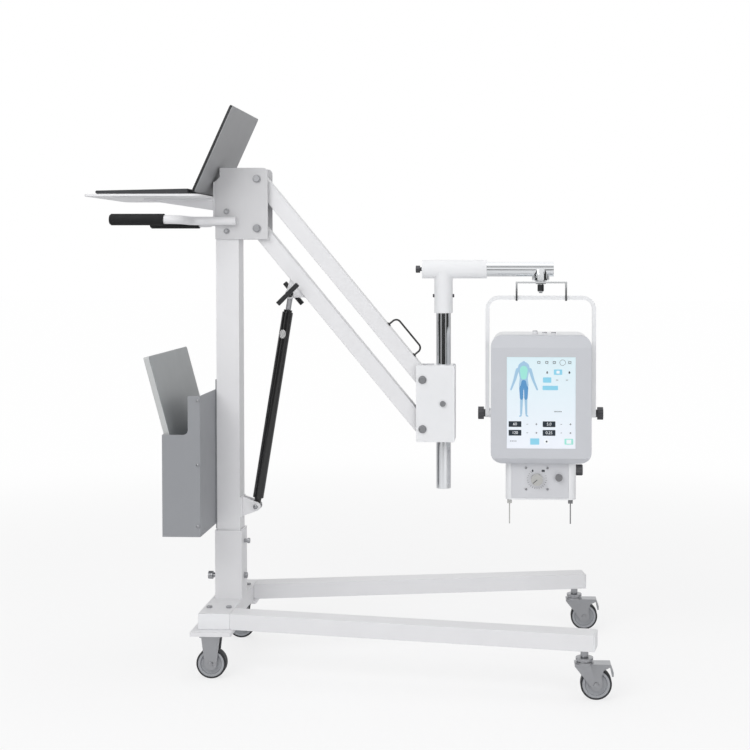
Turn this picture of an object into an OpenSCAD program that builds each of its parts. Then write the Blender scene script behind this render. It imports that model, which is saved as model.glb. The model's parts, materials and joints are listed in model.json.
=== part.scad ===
// Portable x-ray machine on a wheeled stand, with a parallelogram arm lifted by a gas strut.
// Forward is +X, left is +Y and up is +Z. The origin is on the floor under the middle.

/* [Base frame] */
// Height of the legs and the cross beam
tube_h = 40; // [38:1:42]
// Width of each leg tube
leg_w = 60; // [56:1:62]
// Depth of the cross beam
beam_w = 80; // [78:1:84]
// Half of the length of the cross beam
beam_half = 183; // [180:1:186]
// Wall of the frame tubes
wall = 3; // [2.5:0.5:3]
// Height of the underside of the frame above the floor
frame_z = 120; // [118:1:124]
// Side distance of each leg where it leaves the beam
leg_y0 = 153; // [150:1:153]
// Side distance of each leg at its front end
leg_y1 = 308; // [300:1:312]

/* [Column] */
// Outer width of the square column
col_w = 60; // [60:1:62]
// Height of the column top
col_top = 1240; // [1232:1:1242]
// Height of the socket top
socket_top = 340; // [330:1:342]

/* [Wheels] */
// Diameter of the wheels
wheel_d = 75; // [72:1:77]
// Width of the tyres
tyre_w = 25; // [22:1:26]
// Diameter of the wheel axles
axle_d = 8; // [7:1:9]
// Trail of the front wheels behind their stems
trail = 27.5; // [26:0.5:28]

/* [Arm] */
// Outer width of the square arm tubes
arm_w = 40; // [38:1:40]
// Length of each arm between its pivots
arm_l = 675; // [670:1:676]
// Angle of the arms below level
arm_a = 50.4; // [50:0.1:51]
// Distance between the upper and the lower arm pivots
arm_pitch = 128; // [126:1:130]
// Diameter of the arm pivot bolts
pivot_d = 16; // [14:1:17]
// Half of the gap between the bracket plates
plate_y = 30; // [30:0.5:31]
// Thickness of the bracket plates
plate_t = 6; // [5:0.5:6]

/* [Gas strut] */
// Diameter of the strut cylinder
strut_d = 28; // [26:1:29]
// Diameter of the strut rod
rod_d = 14; // [12:1:14]
// Height of the lower strut pivot
strut_z = 400; // [396:1:404]
// Diameter of the strut pins
strut_pin_d = 10; // [9:1:11]

/* [Post and boom] */
// Diameter of the chrome post and boom
post_d = 38; // [36:1:38]
// Diameter of the tee sleeves
tee_d = 48; // [46:1:50]
// Height of the boom axis
boom_z = 1023; // [1020:1:1024]

/* [Head] */
// Width of the head
head_w = 255; // [250:1:256]
// Depth of the head
head_d = 214; // [206:1:216]
// Height of the tilt axis
tilt_z = 648; // [644:1:652]
// Outer width of the bail
bail_w = 287; // [287:1:290]
// Thickness of the bail bar
bail_t = 10; // [9:1:10]
// Width of the bail bar
bail_b = 22; // [20:1:24]
// Width of the collimator
colli_w = 180; // [174:1:182]

/* [Detector and pocket] */
// Depth of the pocket
pocket_d = 96; // [95:1:97]
// Half of the width of the pocket
pocket_half = 200; // [197:1:202]
// Thickness of the pocket sheet
sheet = 2; // [1.5:0.5:2]
// Width of the detector
det_w = 384; // [376:1:386]
// Thickness of the detector
det_t = 15; // [14:1:16]

/* [Tray and laptop] */
// Half of the width of the tray
tray_half = 187; // [184:1:190]
// Height of the tray top
tray_z = 1212; // [1210:1:1213]
// Width of the laptop
laptop_w = 330; // [320:1:334]
// Thickness of the laptop lid
lid_t = 8; // [7:0.5:8]

/* [Hidden] */
$fn = 64;

// Clearances
gap = 0.3;
run = 0.05;

// Column and base places
col_x = -328;
beam_x1 = -293;
beam_x0 = beam_x1 - beam_w;
frame_top = frame_z + tube_h;
leg_x1 = 616;
splay = atan((leg_y1 - leg_y0) / (leg_x1 - beam_x1));
leg_l = (leg_x1 - beam_x1) / cos(splay);
col_front = col_x + col_w / 2;
col_rear = col_x - col_w / 2;
socket_w = col_w + 10;
cap_t = 3;

// Casters
wheel_r = wheel_d / 2;
tyre_t = 4.5;
rear_x = -338;
rear_y = 182;
plate_z = frame_z - 10;
stem_x = 588;
stem_y = 305;
fork_in = 15;
fork_t = 3;
fork_top = wheel_d + 15;

// Arm places
pivot_x = -249;
pivot_z = 1257;
end_x = pivot_x + arm_l * cos(arm_a);
end_z = pivot_z - arm_l * sin(arm_a);
low_z = pivot_z - arm_pitch;
arm_r = arm_w / 2;
end_bx0 = end_x - 16.77;
end_bz0 = end_z - arm_pitch - 33.9;
end_bz1 = end_z + 37.1;
pinch_z = end_z - 61.9;

// Strut places
strut_x = -259;
lug_u = 183.3;
lug_v = 45.9;
eye_x = pivot_x + lug_u * cos(arm_a) - lug_v * sin(arm_a);
eye_z = low_z - lug_u * sin(arm_a) - lug_v * cos(arm_a);
strut_l = sqrt(pow(eye_x - strut_x, 2) + pow(eye_z - strut_z, 2));
strut_a = atan((eye_x - strut_x) / (eye_z - strut_z));
ear_y = 8 + gap;
ear_t = 5;

// Post, tee, boom and yoke
post_x = end_x + 52.73;
post_r = post_d / 2;
post_z0 = end_z - 286.4;
post_z1 = boom_z - 24.5;
end_bx1 = post_x + 30.5;
tee_r = tee_d / 2;
tee_x0 = post_x - 55.4;
tee_x1 = post_x + 113;
tee_z0 = boom_z - 114;
screw_z = boom_z - 69;
tee_end = tee_x0 + 5.4;
boom_in = 52;
boom_x0 = tee_end + boom_in;
yoke_x = post_x + 253;
boom_x1 = yoke_x + 33.5;
hang_top = boom_z - 32;
hang_x0 = yoke_x - 65;
hang_x1 = yoke_x + 68;
bail_top = boom_z - 69;
bail_x0 = yoke_x - bail_w / 2;
bail_x1 = yoke_x + bail_w / 2;

// Head
head_z0 = tilt_z - 118;
head_z1 = tilt_z + 209;
head_x0 = yoke_x - head_w / 2;
head_x1 = yoke_x + head_w / 2;
front_y = -head_d / 2;
bezel_y = front_y + 34;
screen_x = 87;
screen_z0 = tilt_z - 78;
screen_z1 = tilt_z + 154;
colli_z0 = tilt_z - 214;
knob_z = tilt_z - 161;
colli_y = 75;

// Pocket and detector
pocket_x1 = col_rear - 3.5;
pocket_x0 = pocket_x1 - pocket_d;
pocket_z0 = 356.5;
pocket_z1 = 709;
notch_z = 612;
det_a = 14.9;
det_z = pocket_z0 + sheet + gap;
det_x = pocket_x0 + sheet + gap + tan(det_a) * (notch_z - det_z);

// Tray and laptop
tray_t = 6;
tray_x0 = -657;
tray_x1 = col_rear - 6;
hinge_x = -391;
hinge_z = tray_z + 11;
lid_a = 24.6;
base_x0 = -632;
base_x1 = -398;

// A bar along X, Y or Z from a to b, given its centre line and diameter
module bar_x(a, b, y, z, d) {
    translate([a, y, z]) rotate([0, 90, 0]) cylinder(d = d, h = b - a);
}
module bar_y(a, b, x, z, d) {
    translate([x, b, z]) rotate([90, 0, 0]) cylinder(d = d, h = b - a);
}
module bar_z(a, b, x, y, d) {
    translate([x, y, a]) cylinder(d = d, h = b - a);
}
// A block between two corners
module block(p, q) {
    translate(p) cube(q - p);
}
// A flat shape drawn in x and z, given thickness from y = a to y = b
module slab_y(a, b) {
    translate([0, b, 0]) rotate([90, 0, 0]) linear_extrude(b - a) children();
}
// A flat shape drawn in y and z, given thickness from x = a to x = b
module slab_x(a, b) {
    translate([a, 0, 0]) rotate([90, 0, 90]) linear_extrude(b - a) children();
}
// A rectangle with four true round corners
module round_rect(x0, y0, x1, y1, r) {
    translate([x0 + r, y0]) square([x1 - x0 - 2 * r, y1 - y0]);
    translate([x0, y0 + r]) square([x1 - x0, y1 - y0 - 2 * r]);
    for (x = [x0 + r, x1 - r], y = [y0 + r, y1 - r]) translate([x, y]) circle(r);
}
// Both sides of the machine
module both() {
    children();
    mirror([0, 1, 0]) children();
}

// Base frame
module cross_beam() color("whitesmoke") difference() {
    block([beam_x0, -beam_half + cap_t, frame_z], [beam_x1, beam_half - cap_t, frame_top]);
    block([beam_x0 + wall, -beam_half, frame_z + wall], [beam_x1 - wall, beam_half, frame_top - wall]);
    for (x = [-25, 25], s = [-1, 1])
        bar_z(frame_z - 1, frame_top + 1, (beam_x0 + beam_x1) / 2 + x, s * 122, 8.2);
}
module leg() color("whitesmoke") difference() {
    translate([beam_x1, leg_y0, frame_z]) rotate([0, 0, splay]) difference() {
        block([-30, -leg_w / 2, 0], [leg_l - cap_t, leg_w / 2, tube_h]);
        block([-31, wall - leg_w / 2, wall], [leg_l, leg_w / 2 - wall, tube_h - wall]);
    }
    block([beam_x1 - 100, leg_y0 - 100, frame_z - 1], [beam_x1, leg_y0 + 100, frame_top + 1]);
}
module leg_left() leg();
module leg_right() mirror([0, 1, 0]) leg();
// A cap with bevelled edges and a plug, its outer face at x = 0 and the tube on the -X side
module cap(w, h) color("white") {
    intersection() {
        linear_extrude(h) polygon([[-cap_t, -w / 2], [-1, -w / 2], [0, 1 - w / 2], [0, w / 2 - 1],
            [-1, w / 2], [-cap_t, w / 2]]);
        slab_y(-w, w) polygon([[-cap_t, 0], [-1, 0], [0, 1], [0, h - 1], [-1, h], [-cap_t, h]]);
    }
    block([-cap_t - 12, wall - w / 2 + 0.1, wall + 0.1], [-cap_t, w / 2 - wall - 0.1, h - wall - 0.1]);
}
module tube_caps() both() {
    translate([beam_x1, leg_y0, frame_z]) rotate([0, 0, splay]) translate([leg_l, 0, 0]) cap(leg_w, tube_h);
    translate([(beam_x0 + beam_x1) / 2, beam_half, frame_z]) rotate([0, 0, 90]) cap(beam_w, tube_h);
}
module socket() color("whitesmoke") difference() {
    block([col_x - socket_w / 2, -socket_w / 2, frame_top], [col_x + socket_w / 2, socket_w / 2, socket_top]);
    block([col_rear, -col_w / 2, frame_top - 1], [col_front, col_w / 2, socket_top + 1]);
    bar_x(col_x - 50, col_x + 50, 0, 215, 10.2);
    bar_x(col_x, col_x + 50, 0, 307, 10.2);
}
module column() color("whitesmoke") difference() {
    block([col_rear, -col_w / 2, frame_top], [col_front, col_w / 2, col_top]);
    block([col_rear + wall, wall - col_w / 2, frame_top - 1], [col_front - wall, col_w / 2 - wall, col_top + 1]);
    bar_x(col_x - 50, col_x + 50, 0, 215, 10.2);
    bar_x(col_x, col_x + 50, 0, 307, 10.2);
    for (z = [low_z - 7, low_z + 44]) bar_y(-col_w, col_w, col_x, z, 8.2);
}
module base_bolts() color("silver") {
    // Through bolt of the socket with its hand nut at the rear
    bar_x(col_x - 56, col_x + 44, 0, 215, 10);
    bar_x(col_x - 60, col_x - 48, 0, 215, 21);
    bar_x(col_x - 48, col_x - socket_w / 2, 0, 215, 13);
    bar_x(col_x + socket_w / 2, col_x + 43, 0, 215, 16);
    // Clamp screw near the socket top
    bar_x(col_front - wall, col_x + 50, 0, 307, 10);
    bar_x(col_x + 44, col_x + 50, 0, 307, 14);
    // Beam bolts
    for (x = [-25, 25], s = [-1, 1]) translate([(beam_x0 + beam_x1) / 2 + x, s * 122, 0]) {
        bar_z(plate_z - 5, frame_top + 4, 0, 0, 8);
        translate([0, 0, frame_top]) cylinder(d = 15, h = 5, $fn = 6);
        translate([0, 0, plate_z - 6]) cylinder(d = 15, h = 6, $fn = 6);
    }
    // Detector strip screws
    for (z = [350, 725]) {
        bar_x(pocket_x1 - 3, pocket_x1, 0, z, 10);
    }
}

// Rear casters
module rear_plates() color("whitesmoke") both() translate([0, 0, plate_z]) difference() {
    linear_extrude(10) round_rect(rear_x - 50, 110, rear_x + 53, 212, 4);
    for (x = [-25, 25]) bar_z(-1, 11, (beam_x0 + beam_x1) / 2 + x, 122, 8.2);
}
module rear_fork_side() {
    translate([rear_x, 37.5]) circle(15);
    translate([rear_x, 0]) polygon([[-15, 37.5], [15, 37.5], [23, plate_z - 8], [23, plate_z - 4],
        [-23, plate_z - 4], [-23, plate_z - 8]]);
}
module rear_forks() color("silver") both() difference() {
    union() {
        for (y = [rear_y - fork_in - fork_t, rear_y + fork_in]) slab_y(y, y + fork_t) rear_fork_side();
        block([rear_x - 26, rear_y - 30, plate_z - 4], [rear_x + 26, rear_y + 26, plate_z]);
    }
    bar_y(rear_y - 30, rear_y + 30, rear_x, wheel_r, axle_d + 0.1);
}
module rear_axles() color("silver") both() axle(rear_x, rear_y);
// A wheel axle with a head and a nut outside the fork plates
module axle(x, y) {
    bar_y(y - fork_in - fork_t - 5, y + fork_in + fork_t + 5, x, wheel_r, axle_d);
    for (s = [-1, 1]) translate([x, y + s * (fork_in + fork_t + 2), wheel_r]) rotate([90, 0, 0])
        cylinder(d = axle_d + 6, h = 4, center = true, $fn = 6);
}
// A tyre ring with a rounded tread
module tyre(x, y) color("dimgray") translate([x, y, wheel_r]) rotate([90, 0, 0])
    rotate_extrude($fn = 96) difference() {
        union() {
            translate([wheel_r - tyre_t, -tyre_w / 2]) square([tyre_t - 1.5, tyre_w]);
            translate([wheel_r - tyre_t, 1.5 - tyre_w / 2]) square([tyre_t, tyre_w - 3]);
        }
    }
// A hub with ring steps and a bore
module hub(x, y) color("darkgray") translate([x, y, wheel_r]) rotate([90, 0, 0])
    rotate_extrude($fn = 96) polygon([
        [axle_d / 2 + run, gap - fork_in], [9, gap - fork_in], [11, 2 - tyre_w / 2], [15, 2 - tyre_w / 2],
        [16, 4 - tyre_w / 2], [26, 4 - tyre_w / 2], [27, -tyre_w / 2], [wheel_r - tyre_t, -tyre_w / 2],
        [wheel_r - tyre_t, tyre_w / 2], [27, tyre_w / 2], [26, tyre_w / 2 - 4], [16, tyre_w / 2 - 4],
        [15, tyre_w / 2 - 2], [11, tyre_w / 2 - 2], [9, fork_in - gap], [axle_d / 2 + run, fork_in - gap]]);
module rear_tyre_left() tyre(rear_x, rear_y);
module rear_hub_left() hub(rear_x, rear_y);
module rear_tyre_right() tyre(rear_x, -rear_y);
module rear_hub_right() hub(rear_x, -rear_y);

// Front swivel casters
module caster_stems() color("silver") both() {
    bar_z(fork_top - 9, frame_z, stem_x, stem_y, 12);
    bar_z(fork_top + 10 + gap, frame_z, stem_x, stem_y, 19);
    bar_z(fork_top - 10, fork_top - 6 - gap, stem_x, stem_y, 20);
}
module caster_side() {
    translate([stem_x + trail, wheel_r]) circle(14);
    polygon([[stem_x - 24, fork_top - 3], [stem_x - 24, fork_top - 8], [stem_x + trail - 13, wheel_r - 4],
        [stem_x + trail + 14, wheel_r], [stem_x + trail + 13, wheel_r + 22], [stem_x + 45, wheel_r + 35],
        [stem_x + 60, fork_top - 10], [stem_x + 62, fork_top - 3]]);
}
module caster() color("silver") difference() {
    union() {
        for (y = [stem_y - fork_in - fork_t, stem_y + fork_in]) slab_y(y, y + fork_t) caster_side();
        block([stem_x - 24, stem_y - fork_in - fork_t, fork_top - 6],
            [stem_x + 62, stem_y + fork_in + fork_t, fork_top - 3]);
        bar_z(fork_top - 6, fork_top, stem_x, stem_y, 44);
        bar_z(fork_top, fork_top + 4, stem_x, stem_y, 36);
        bar_z(fork_top + 4, fork_top + 10, stem_x, stem_y, 42);
        // Brake lever
        slab_y(stem_y - 12, stem_y + 12) polygon([[stem_x + 40, fork_top - 3], [stem_x + 61, fork_top - 3],
            [657, fork_top - 24], [657, 56], [653, 56], [stem_x + 60, fork_top - 10], [stem_x + 56, fork_top - 6],
            [stem_x + 40, fork_top - 6]]);
    }
    bar_z(fork_top - 20, fork_top + 12, stem_x, stem_y, 12 + 2 * run);
    bar_y(stem_y - 30, stem_y + 30, stem_x + trail, wheel_r, axle_d + 0.1);
    bar_y(stem_y - fork_in, stem_y + fork_in, stem_x + trail, wheel_r, wheel_d + 8);
}
module caster_left() caster();
module caster_right() mirror([0, 1, 0]) caster();
module caster_axle_left() color("silver") axle(stem_x + trail, stem_y);
module caster_axle_right() color("silver") mirror([0, 1, 0]) axle(stem_x + trail, stem_y);
module front_tyre_left() tyre(stem_x + trail, stem_y);
module front_hub_left() hub(stem_x + trail, stem_y);
module front_tyre_right() tyre(stem_x + trail, -stem_y);
module front_hub_right() hub(stem_x + trail, -stem_y);

// Bracket at the column top
web_x = col_rear + 12;
web_z = pivot_z + 29;
module bracket_side() {
    difference() {
        polygon([[col_rear, low_z - 28], [pivot_x + 28, low_z - 28], [pivot_x + 28, web_z],
            [web_x, web_z], [web_x, web_z - 24], [col_rear, web_z - 36]]);
        translate([pivot_x + 16, web_z - 12]) square(20);
    }
    translate([pivot_x + 16, web_z - 12]) circle(12);
}
module arm_bracket() color("gainsboro") difference() {
    union() {
        for (y = [-plate_y - plate_t, plate_y]) slab_y(y, y + plate_t) bracket_side();
        block([web_x, -plate_y, web_z - 30], [web_x + 6, plate_y, web_z]);
        block([web_x, -plate_y, web_z - 6], [pivot_x - 41, plate_y, web_z]);
    }
    for (z = [low_z, pivot_z]) bar_y(-50, 50, pivot_x, z, pivot_d + 0.1);
    for (z = [low_z - 7, low_z + 44]) bar_y(-50, 50, col_x, z, 8.2);
}
module bracket_bolts() color("silver") {
    for (z = [low_z, pivot_z]) through_bolt(pivot_x, z, pivot_d, 21);
    for (z = [low_z - 7, low_z + 44]) through_bolt(col_x, z, 8, 15);
}
// A cross bolt with a domed ring head at each side of the plates
module through_bolt(x, z, d, head) {
    bar_y(-plate_y - plate_t - 5, plate_y + plate_t + 5, x, z, d);
    for (s = [-1, 1]) translate([x, s * (plate_y + plate_t), z]) rotate([-90 * s, 0, 0]) {
        cylinder(d = head, h = 3);
        cylinder(d1 = head - 1, d2 = head - 6, h = 6);
    }
}
module spacers(x, zs) {
    for (z = zs, s = [-1, 1]) translate([x, s * (arm_r + gap + plate_y) / 2, z]) rotate([90, 0, 0])
        difference() {
            cylinder(d = pivot_d + 12, h = plate_y - arm_r - gap, center = true);
            cylinder(d = pivot_d + 0.1, h = 40, center = true);
        }
}
module pivot_spacers() color("silver") spacers(pivot_x, [low_z, pivot_z]);

// Push handles, each a tube bent outwards and back
hand_z = 1148;
hand_d = 22;
hand_y0 = plate_y + plate_t + hand_d / 2;
hand_y1 = 185;
hand_x1 = -451;
hand_end = -586;
bend_r = 35;
hand_x0 = hand_x1 + 2 * bend_r;
module handle_bend() rotate_extrude(angle = 90) translate([bend_r, 0]) circle(d = hand_d);
module handle() color("white") {
    bar_x(hand_x0, -302, hand_y0, hand_z, hand_d);
    translate([hand_x0, hand_y0 + bend_r, hand_z]) rotate([0, 0, 180]) handle_bend();
    bar_y(hand_y0 + bend_r, hand_y1 - bend_r, hand_x0 - bend_r, hand_z, hand_d);
    translate([hand_x1, hand_y1 - bend_r, hand_z]) handle_bend();
    bar_x(hand_end, hand_x1, hand_y1, hand_z, hand_d);
}
module handle_left() handle();
module handle_right() mirror([0, 1, 0]) handle();
module handle_grips() color("black") both() difference() {
    union() {
        bar_x(hand_end, hand_x1 - 1, hand_y1, hand_z, hand_d + 7);
        bar_x(hand_end - 3, hand_end, hand_y1, hand_z, hand_d + 2);
    }
    bar_x(hand_end, hand_x1, hand_y1, hand_z, hand_d);
}

// Tray and its support
module tray() color("white") translate([0, 0, tray_z - tray_t]) linear_extrude(tray_t)
    round_rect(tray_x0, -tray_half, tray_x1, tray_half, 18);
module tray_support() color("whitesmoke") {
    block([-547, -40, tray_z - tray_t - 5], [col_rear - 6, 40, tray_z - tray_t]);
    for (s = [-1, 1]) translate([0, s * 30 - 2, 0]) slab_y(0, 4) polygon([[-530, tray_z - tray_t - 5],
        [col_rear - 6, tray_z - tray_t - 30], [col_rear - 6, tray_z - tray_t - 5]]);
    block([col_rear - 6, -plate_y - 4, tray_z - 60], [col_rear, plate_y + 4, pivot_z - 7]);
}

// Laptop
module laptop_base() color("dimgray") {
    slab_y(-laptop_w / 2, laptop_w / 2) polygon([[base_x0 + 5, tray_z], [base_x1, tray_z],
        [base_x1, tray_z + 14], [base_x0 + 2, tray_z + 9.5], [base_x0, tray_z + 8], [base_x0, tray_z + 4]]);
    for (s = [-1, 1]) translate([0, s * 130 - 9, 0]) {
        block([base_x1, 0, hinge_z - 3], [hinge_x, 18, hinge_z + 2]);
        bar_y(0, 18, hinge_x, hinge_z, 6);
    }
    for (s = [-1, 1]) bar_y(s > 0 ? 114 : -122, s > 0 ? 122 : -114, hinge_x, hinge_z, 2.4);
}
module laptop_lid() color("silver") translate([hinge_x, 0, hinge_z]) rotate([0, lid_a, 0]) difference() {
    union() {
        slab_x(3.5, 3.5 + lid_t) round_rect(-laptop_w / 2, -1, laptop_w / 2, 235, 8);
        bar_y(-120.7, 120.7, 0, 0, 6);
        block([0, -120.7, -3], [4, 120.7, 5]);
    }
    bar_y(-130, 130, 0, 0, 2.6);
}

// Detector and its pocket
module pocket_side() {
    difference() {
        translate([pocket_x0, pocket_z0]) square([pocket_d, pocket_z1 - pocket_z0]);
        translate([pocket_x0 - 1, notch_z + 12]) square([pocket_d - 30, pocket_z1 - notch_z]);
        translate([pocket_x0 - 1, notch_z]) square([pocket_d - 42, pocket_z1 - notch_z + 1]);
        translate([pocket_x1 - 43, notch_z + 12]) circle(12);
    }
}
module detector_pocket() color("darkgray") {
    for (y = [-pocket_half, pocket_half - sheet]) slab_y(y, y + sheet) pocket_side();
    block([pocket_x0, -pocket_half, pocket_z0], [pocket_x0 + sheet, pocket_half, notch_z]);
    block([pocket_x1 - sheet, -pocket_half, pocket_z0], [pocket_x1, pocket_half, pocket_z1]);
    block([pocket_x0, -pocket_half, pocket_z0], [pocket_x1, pocket_half, pocket_z0 + sheet]);
}
module pocket_strip() color("darkgray") block([pocket_x1, -29, 344], [col_rear, 29, 735]);
module detector() color("gainsboro") translate([det_x, 0, det_z]) rotate([0, -det_a, 0])
    slab_x(0, det_t) round_rect(-det_w / 2, 0, det_w / 2, 460, 6);

// Gas strut and its mounts
module strut_foot() color("whitesmoke") {
    block([col_front, -25, strut_z - 26], [col_front + 4, 25, strut_z + 26]);
    difference() {
        for (y = [-15.3, 10.3]) slab_y(y, y + 5) {
            polygon([[col_front + 4, strut_z - 25.5], [strut_x + 2, strut_z - 12], [strut_x + 2, strut_z + 12],
                [col_front + 4, strut_z + 25.5]]);
            translate([strut_x, strut_z]) circle(12);
        }
        bar_y(-20, 20, strut_x, strut_z, strut_pin_d + 0.1);
    }
    bar_y(-18, 18, strut_x, strut_z, strut_pin_d);
    for (y = [-20, 15.3]) bar_y(y, y + 4.7, strut_x, strut_z, 17);
}
module along_strut() {
    translate([strut_x, 0, strut_z]) rotate([0, strut_a, 0]) children();
}
module strut_cylinder() color("black") along_strut() difference() {
    union() {
        bar_z(22, 517, 0, 0, strut_d);
        bar_z(8, 24, 0, 0, 18);
        bar_y(-10, 10, 0, 0, 22);
        bar_z(517, 523, 0, 0, strut_d - 6);
    }
    bar_y(-20, 20, 0, 0, strut_pin_d + 2 * run);
    bar_z(40, 505, 0, 0, strut_d - 4);
    bar_z(500, 530, 0, 0, rod_d + 2 * run);
}
module strut_rod() color("silver") along_strut() difference() {
    union() {
        bar_z(230, strut_l - 8, 0, 0, rod_d);
        bar_z(230, 244, 0, 0, strut_d - 4.4);
        bar_y(-8, 8, 0, strut_l, 24);
    }
    bar_y(-20, 20, 0, strut_l, strut_pin_d + 1);
}

// Parallelogram arms
module arm_tube() difference() {
    union() {
        difference() {
            slab_y(-arm_r, arm_r) {
                translate([0, -arm_r]) square([arm_l, arm_w]);
                circle(arm_r);
                translate([arm_l, 0]) circle(arm_r);
            }
            block([-40, wall - arm_r, wall - arm_r], [arm_l + 40, arm_r - wall, arm_r - wall]);
        }
        for (x = [0, arm_l]) bar_y(-arm_r, arm_r, x, 0, pivot_d + 10);
    }
    for (x = [0, arm_l]) bar_y(-arm_w, arm_w, x, 0, pivot_d + 2 * run);
}
module along_arm(z) {
    translate([pivot_x, 0, z]) rotate([0, arm_a, 0]) children();
}
module upper_arm() color("gainsboro") along_arm(pivot_z) arm_tube();
module bow_handle() color("black") along_arm(pivot_z) translate([0, 0, arm_r]) {
    for (x = [508, 612]) bar_z(0, 15, x, 0, 5);
    bar_x(521, 599, 0, 28, 5);
    for (x = [0, 1]) translate([x == 0 ? 521 : 599, 0, 15]) rotate([90, 0, 0])
        rotate([0, 0, x == 0 ? 90 : 0]) rotate_extrude(angle = 90) translate([13, 0]) circle(d = 5);
    for (x = [508, 612]) bar_z(0, 3, x, 0, 12);
}
module lower_arm() color("gainsboro") along_arm(low_z) {
    arm_tube();
    difference() {
        for (y = [-ear_y - ear_t, ear_y]) slab_y(y, y + ear_t) {
            polygon([[lug_u - 30, -arm_r], [lug_u + 34, -arm_r], [lug_u + 13, -lug_v], [lug_u - 13, -lug_v]]);
            translate([lug_u, -lug_v]) circle(13);
        }
        bar_y(-20, 20, lug_u, -lug_v, strut_pin_d + 0.1);
    }
}
module strut_pins() color("black") along_arm(low_z) translate([lug_u, 0, -lug_v]) {
    for (s = [-1, 1]) rotate([90 * s, 0, 0]) {
        translate([0, 0, ear_y]) cylinder(d = strut_pin_d, h = 32);
        translate([0, 0, ear_y + ear_t]) cylinder(d = 18, h = 4);
        translate([0, 0, 45]) rotate([0, 0, s > 0 ? 95 : 0]) cube([73, 11, 10], center = true);
        translate([0, 0, 34]) cylinder(d = 14, h = 8);
    }
}

// Bracket at the arm end
module end_bracket() color("gainsboro") difference() {
    union() {
        for (y = [-plate_y - plate_t, plate_y]) slab_y(y, y + plate_t)
            round_rect(end_bx0, end_bz0, end_bx1, end_bz1, 4);
        block([end_bx1 - plate_t, -plate_y, end_bz0 + 4], [end_bx1, plate_y, end_bz1 - 4]);
        for (z = [end_bz0, end_bz1 - 6])
            block([post_x - 26, -plate_y, z], [end_bx1 - plate_t, plate_y, z + 6]);
    }
    bar_z(end_bz0 - 5, end_bz1 + 6, post_x, 0, post_d + 2 * run);
    for (z = [end_z, end_z - arm_pitch]) bar_y(-50, 50, end_x, z, pivot_d + 0.1);
    bar_y(-50, 0, post_x, pinch_z, 8.2);
}
module end_bolts() color("silver") {
    for (z = [end_z, end_z - arm_pitch]) through_bolt(end_x, z, pivot_d, 21);
    spacers(end_x, [end_z, end_z - arm_pitch]);
    bar_y(-plate_y - plate_t - 4, -post_r - gap, post_x, pinch_z, 8);
    bar_y(-plate_y - plate_t - 5, -plate_y - plate_t, post_x, pinch_z, 15);
}

// Post, tee and boom
module post() color("lightgray") difference() {
    bar_z(post_z0, post_z1, post_x, 0, post_d);
    bar_z(post_z0 + 6, post_z1 + 1, post_x, 0, post_d - 6);
}
module tee() color("white") difference() {
    union() {
        bar_z(tee_z0, boom_z, post_x, 0, tee_d);
        bar_x(tee_x0, tee_x1, 0, boom_z, tee_d);
    }
    bar_z(tee_z0 - 1, post_z1 + gap, post_x, 0, post_d + 2 * run);
    bar_x(tee_end, tee_x1 + 1, 0, boom_z, post_d + 2 * run);
    bar_x(post_x - 30, post_x + 30, 0, screw_z, 6.2);
}
module tee_screws() color("dimgray") {
    for (s = [-1, 1]) translate([post_x + s * (post_r + gap), 0, screw_z]) rotate([0, 90 * s, 0]) {
        cylinder(d = 6, h = tee_r - post_r + 2);
        translate([0, 0, tee_r - post_r - gap]) cylinder(d = 9, h = 4);
    }
    bar_x(tee_x0 - 6, tee_x0, 0, boom_z, 10);
    bar_x(tee_x0 - 17, tee_x0 - 6, 0, boom_z, 19);
}
module boom() color("lightgray") {
    difference() {
        bar_x(boom_x0, boom_x1, 0, boom_z, post_d);
        bar_x(boom_x0 - 1, boom_x1 - 70, 0, boom_z, post_d - 6);
    }
    bar_z(hang_top + 3, boom_z, yoke_x, 0, 45);
    bar_z(hang_top - 30, boom_z, yoke_x, 0, 10);
    bar_z(hang_top - 26, hang_top - 4.5 - gap, yoke_x, 0, 16);
    bar_z(hang_top + gap, hang_top + 3, yoke_x, 0, 30);
}

// Yoke that carries the head
module hang_bracket() color("whitesmoke") difference() {
    union() {
        block([hang_x0, -16, hang_top - 4.5], [hang_x1, 16, hang_top]);
        for (x = [hang_x0, hang_x1 - 5]) block([x, -16, bail_top - bail_t - 3], [x + 5, 16, hang_top]);
    }
    bar_z(hang_top - 10, hang_top + 10, yoke_x, 0, 10 + 2 * run);
    block([hang_x0 - 1, -bail_b / 2, bail_top - bail_t], [hang_x1 + 1, bail_b / 2, bail_top]);
}
module bail() color("gainsboro") difference() {
    union() {
        slab_y(-bail_b / 2, bail_b / 2) difference() {
            round_rect(bail_x0, tilt_z - 60, bail_x1, bail_top, 35);
            round_rect(bail_x0 + bail_t, tilt_z - 80, bail_x1 - bail_t, bail_top - bail_t, 25);
            translate([bail_x0 - 1, tilt_z - 90]) square([bail_w + 2, 90]);
        }
        for (x = [bail_x0, bail_x1 - bail_t]) bar_x(x, x + bail_t, 0, tilt_z, bail_b);
    }
    bar_x(bail_x0 - 1, bail_x1 + 1, 0, tilt_z, 6.2);
}
module tilt_knobs() color("dimgray") {
    for (s = [-1, 1]) translate([yoke_x + s * (bail_w / 2 - bail_t), 0, tilt_z]) rotate([0, 90 * s, 0]) {
        translate([0, 0, -14]) cylinder(d = 6, h = 30);
        translate([0, 0, bail_t]) cylinder(d = 20, h = 4);
        translate([0, 0, bail_t + 4]) difference() {
            cylinder(d = 33, h = 15);
            for (a = [0:30:330]) rotate([0, 0, a]) translate([18.5, 0, -1]) cylinder(d = 6, h = 17, $fn = 24);
        }
    }
}

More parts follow.
